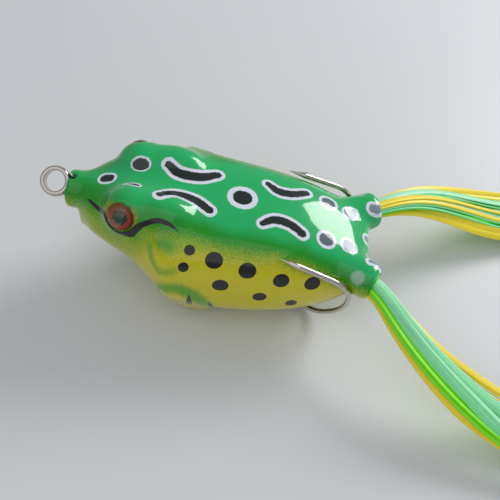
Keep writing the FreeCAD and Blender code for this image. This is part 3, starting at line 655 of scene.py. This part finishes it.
def ribbon_tree():
    """Flat strands swept along their guide lines, each a little different in width, twist and length."""
    tree = bpy.data.node_groups.new("skirt_strands", "GeometryNodeTree")
    face = tree.interface
    face.new_socket("Guides", in_out="INPUT", socket_type="NodeSocketGeometry")
    for name, default in (("Strand width", 1.4 * MM), ("Strand thickness", 0.4 * MM), ("From", 0.0),
                          ("To", 1.0), ("Stagger", 0.05), ("Twist", 0.5)):
        face.new_socket(name, in_out="INPUT", socket_type="NodeSocketFloat").default_value = default
    face.new_socket("Seed", in_out="INPUT", socket_type="NodeSocketInt")
    face.new_socket("Material", in_out="INPUT", socket_type="NodeSocketMaterial")
    face.new_socket("Strands", in_out="OUTPUT", socket_type="NodeSocketGeometry")
    add = adder(tree)
    given = {item.name: add("NodeGroupInput", output=item.name) for item in face.items_tree
             if item.in_out == "INPUT"}
    by_point = add("GeometryNodeCurveOfPoint", output="Curve Index")
    by_strand = add("GeometryNodeInputIndex")
    # Each strand's own chances: lowest, highest, shift of the seed, and what counts the strands.
    chance = {}
    for name, low, high, shift, count in (
        ("twist", -1.0, 1.0, 11, by_point),
        ("tone", 0.0, 1.0, 5, by_strand),
        ("short", 0.0, 1.0, 3, by_strand),
        ("width", 0.85, 1.15, 7, by_point),
    ):
        seed = add("FunctionNodeIntegerMath", {0: given["Seed"], 1: shift})
        chance[name] = add("FunctionNodeRandomValue", {2: low, 3: high, "ID": count, "Seed": seed}, 1)
    line = add("GeometryNodeResampleCurve", {"Curve": given["Guides"], "Count": 120})
    along = add("GeometryNodeSplineParameter", output="Factor")
    turn = add("ShaderNodeMath", {0: chance["twist"], 1: given["Twist"]}, operation="MULTIPLY")
    turn = add("ShaderNodeMath", {0: turn, 1: along}, operation="MULTIPLY")
    turn = add("ShaderNodeMath", {0: turn, 1: math.pi}, operation="MULTIPLY")
    line = add("GeometryNodeSetCurveNormal", {"Curve": line}, mode="Z_UP")
    line = add("GeometryNodeSetCurveTilt", {"Curve": line, "Tilt": turn})
    line = add("GeometryNodeStoreNamedAttribute",
               {"Geometry": line, "Name": "strand_tone", "Value": chance["tone"]},
               data_type="FLOAT", domain="CURVE")
    short = add("ShaderNodeMath", {0: chance["short"], 1: given["Stagger"]}, operation="MULTIPLY")
    longest = add("ShaderNodeMath", {0: 1.0, 1: short}, operation="SUBTRACT")
    end = add("ShaderNodeMath", {0: given["To"], 1: longest}, operation="MINIMUM")
    line = add("GeometryNodeTrimCurve", {"Curve": line, "Start": given["From"], "End": end}, mode="FACTOR")
    line = add("GeometryNodeSetCurveRadius", {"Curve": line, "Radius": chance["width"]})
    outline = add("GeometryNodeCurvePrimitiveQuadrilateral",
                  {"Width": given["Strand width"], "Height": given["Strand thickness"]})
    corner = add("ShaderNodeMath", {0: given["Strand thickness"], 1: 0.42}, operation="MULTIPLY")
    outline = add("GeometryNodeFilletCurve", {"Curve": outline, "Count": 2, "Radius": corner}, mode="POLY")
    made = add("GeometryNodeCurveToMesh", {"Curve": line, "Profile Curve": outline, "Fill Caps": True})
    made = add("GeometryNodeSetShadeSmooth", {"Geometry": made})
    made = add("GeometryNodeRealizeInstances", {"Geometry": made})
    made = add("GeometryNodeSetMaterial", {"Geometry": made, "Material": given["Material"]})
    add("NodeGroupOutput", {0: made})
    return tree


def strands(name, guides, tree, start, end, seed, material):
    """The plain mesh of a length of strands, from one share of the guide lines to another."""
    modifier = guides.modifiers.new("strands", "NODES")
    modifier.node_group = tree
    inputs = {item.name: item.identifier for item in tree.interface.items_tree if item.in_out == "INPUT"}
    for label, value in (("From", start), ("To", end), ("Seed", seed), ("Material", material)):
        modifier[inputs[label]] = value
    bpy.context.view_layer.update()
    mesh = bpy.data.meshes.new_from_object(guides.evaluated_get(bpy.context.evaluated_depsgraph_get()))
    guides.modifiers.remove(modifier)
    mesh.name = name
    return mesh


# The share of a strand's guide line at which its roots end and its tips begin.
MEETING = 0.2
SILICONES = {
    "pale": silicone("pale_green_silicone", "#5FE58A", "#B4F9CC"),
    "lime": silicone("lime_green_silicone", "#3BE000", "#8CF51E"),
    "yellow": silicone("yellow_silicone", "#EFD000", "#FFE83A"),
}


def dress_leg(side, tree, seed):
    """A leg's strands in two pieces: the roots, the first MEETING share of each guide line, and the tips
    beyond.
    """
    points = leg_points(side)
    for number, colour in enumerate(("pale", "lime", "yellow")):
        guides = strand_guides(f"{side}_{colour}_guides", side, colour)
        for part, kind, start, end in (("strands", "roots", 0.0, MEETING), ("tips", "ends", MEETING, 1.0)):
            node = f"{side}_{colour}_{part}"
            mesh = strands(f"{node}_mesh", guides, tree, start, end, seed + number * 17, SILICONES[colour])
            piece = bpy.data.objects.new(f"{side}_{colour}_skirt_{kind}", mesh)
            bpy.context.scene.collection.objects.link(piece)
            if part == "strands":
                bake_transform(piece)
            else:
                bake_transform(piece)
            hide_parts(node)
        bpy.data.objects.remove(guides)


# ---------------------------------------------------------------- the pieces

put_together("soft_body", soft_body_mesh(), painted_pvc(), "frog", "soft_pvc", "body_shell")

FINISHES = {
    "double_hook": bright_nickel(),
    "belly_weight": cast_lead(),
    "skirt_hank": SILICONES["lime"],
}
foil, resin, rubber = printed_foil(), clear_resin(), black_rubber()
for side in ("left", "right"):
    FINISHES[f"{side}_eye_iris"] = foil
    FINISHES[f"{side}_eye_lens"] = resin
    FINISHES[f"{side}_skirt_band"] = rubber
for node, finish in FINISHES.items():
    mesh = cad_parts[node].data
    mesh.materials.clear()
    mesh.materials.append(finish)

skirt = ribbon_tree()
dress_leg("left", skirt, 3)
dress_leg("right", skirt, 61)

# ---------------------------------------------------------------- stage, lights and camera


def stage():
    """A plain pale table under the lure."""
    half = 1.5
    mesh = bpy.data.meshes.new("table_top")
    corners = [(-half, -half, FLOOR), (half, -half, FLOOR), (half, half, FLOOR), (-half, half, FLOOR)]
    mesh.from_pydata(corners, [], [(0, 1, 2, 3)])
    made, add, place, wire = new_material("pale_table_laminate", Roughness=0.45)
    cloud = add("ShaderNodeTexNoise", {"Vector": place, "Scale": 1 / (60.0 * MM), "Detail": 1.0})
    wire(Base_Color=add("ShaderNodeMix", {0: cloud, 6: linear("#D9DCDF"), 7: linear("#E0E2E5")}, 2,
                        data_type="RGBA"))
    mesh.materials.append(made)
    table = bpy.data.objects.new("table_top", mesh)
    bpy.context.scene.collection.objects.link(table)
    table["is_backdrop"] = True


def lamp(name, place, target, width, depth, power):
    """A soft box that faces a point."""
    light = bpy.data.lights.new(name, "AREA")
    light.shape = "RECTANGLE"
    light.size, light.size_y = width, depth
    light.energy = power
    made = bpy.data.objects.new(name, light)
    made.location = place
    made.rotation_mode = "QUATERNION"
    made.rotation_quaternion = (Vector(target) - Vector(place)).to_track_quat("-Z", "Y")
    bpy.context.scene.collection.objects.link(made)


def studio():
    """A key box behind the tail, a broad fill overhead and a pale room."""
    middle = (0.045, 0.0, 0.0)
    lamp("key_soft_box", (0.4, 0.36, 0.3), middle, 0.3, 0.22, 2.1)
    lamp("fill_soft_box", (-0.05, -0.35, 0.5), middle, 0.8, 0.8, 1.05)
    world = bpy.data.worlds.new("studio")
    world.use_nodes = True
    world.node_tree.nodes.clear()
    add = adder(world.node_tree)
    room = add("ShaderNodeBackground", {"Color": linear("#EEF1F5"), "Strength": 0.42})
    add("ShaderNodeOutputWorld", {"Surface": room})
    bpy.context.scene.world = world
    bpy.context.scene.view_settings.view_transform = "Standard"


def camera():
    """A camera a hand's breadth above the left flank."""
    lens = bpy.data.cameras.new("camera")
    lens.lens = 46.76
    lens.sensor_width = 36.0
    lens.clip_start = 0.001
    made = bpy.data.objects.new("camera", lens)
    right = Vector((0.99022, 0.11606, 0.07737))
    up = Vector((-0.13924, 0.78922, 0.59811))
    back = Vector((0.00835, -0.60304, 0.79767))
    turn = Matrix((right, up, back)).transposed().to_4x4()
    turn.translation = Vector((0.03977, -0.08132, 0.0944))
    made.matrix_world = turn
    bpy.context.scene.collection.objects.link(made)
    bpy.context.scene.camera = made


stage()
studio()
camera()

boxes = {"cad": cad_box, "visual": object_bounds()}
{name: [list(corner) for corner in box] for name, box in boxes.items()}
